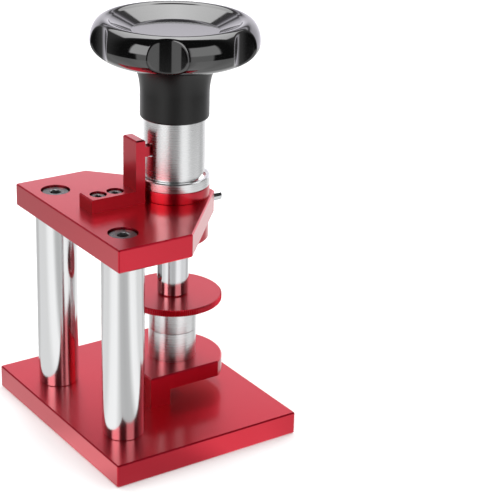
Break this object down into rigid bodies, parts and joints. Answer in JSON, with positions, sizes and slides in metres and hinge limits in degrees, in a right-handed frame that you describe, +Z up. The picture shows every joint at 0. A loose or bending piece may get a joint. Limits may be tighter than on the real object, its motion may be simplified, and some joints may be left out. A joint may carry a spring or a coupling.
{
  "type": "hand screw press",
  "caption": "Bench hand press on two posts: a lobed handwheel with a cam sleeve drives a keyed ram and die holder down onto an anvil.",
  "frame": {"origin": "the ram's axis where it meets the underside of the base plate", "axes": "+Z up along the ram's axis, +Y towards the two posts at the back, +X to the right seen from the front"},
  "size_m": [0.12, 0.1056, 0.1992],
  "materials": {
    "anodised_red": "satin red anodised, machined edges lightly broken",
    "polished_chrome": "ground and hard chromed, mirror bright",
    "turned_aluminium": "fine turned, bright",
    "bright_steel": "ground bright",
    "black_phenolic": "moulded phenolic, high gloss",
    "black_oxide": "black oxide, oiled",
    "bearing_steel": "hardened and ground",
    "brass": "turned"
  },
  "bodies": {
    "frame": {"base_plate": "anodised_red", "post_left": "polished_chrome", "post_right": "polished_chrome", "post_base_screws": "black_oxide", "post_top_screws": "black_oxide", "top_plate": "anodised_red", "anvil_block": "anodised_red", "block_screws": "black_oxide", "lower_die_holder": "turned_aluminium", "lower_holder_screw": "black_oxide", "stop_bracket": "anodised_red", "bracket_screws": "black_oxide", "spindle_housing": "anodised_red", "housing_ring_nut": "anodised_red", "lock_ring": "turned_aluminium", "housing_lock_screw": "bright_steel", "key_screw": "black_oxide"},
    "ram": {"ram": "bright_steel", "bearing_lower_race": "bearing_steel", "bearing_balls": "bearing_steel", "bearing_cage": "brass"},
    "adjuster": {"knurled_disc": "anodised_red", "upper_die_holder": "turned_aluminium", "adjuster_stud": "bright_steel"},
    "wheel": {"handwheel": "black_phenolic", "wheel_insert": "brass", "drive_stud": "bright_steel", "cam_sleeve": "turned_aluminium", "bearing_upper_race": "bearing_steel", "ram_retainer": "brass"}
  },
  "joints": [
    {"name": "ram_slide", "type": "slide", "parent": "frame", "child": "ram", "axis": [0, 0, 1], "range_m": [0, 0.02]},
    {"name": "wheel_turn", "type": "hinge", "parent": "ram", "child": "wheel", "pos_m": [0, 0, 0.15], "axis": [0, 0, 1], "range_deg": [0, 300]},
    {"name": "disc_turn", "type": "hinge", "parent": "ram", "child": "adjuster", "pos_m": [0, 0, 0.0596], "axis": [0, 0, 1], "continuous": true}
  ],
  "couplings": [
    {"joint": "wheel_turn", "follows": "ram_slide", "rad_per_m": 261.8}
  ]
}
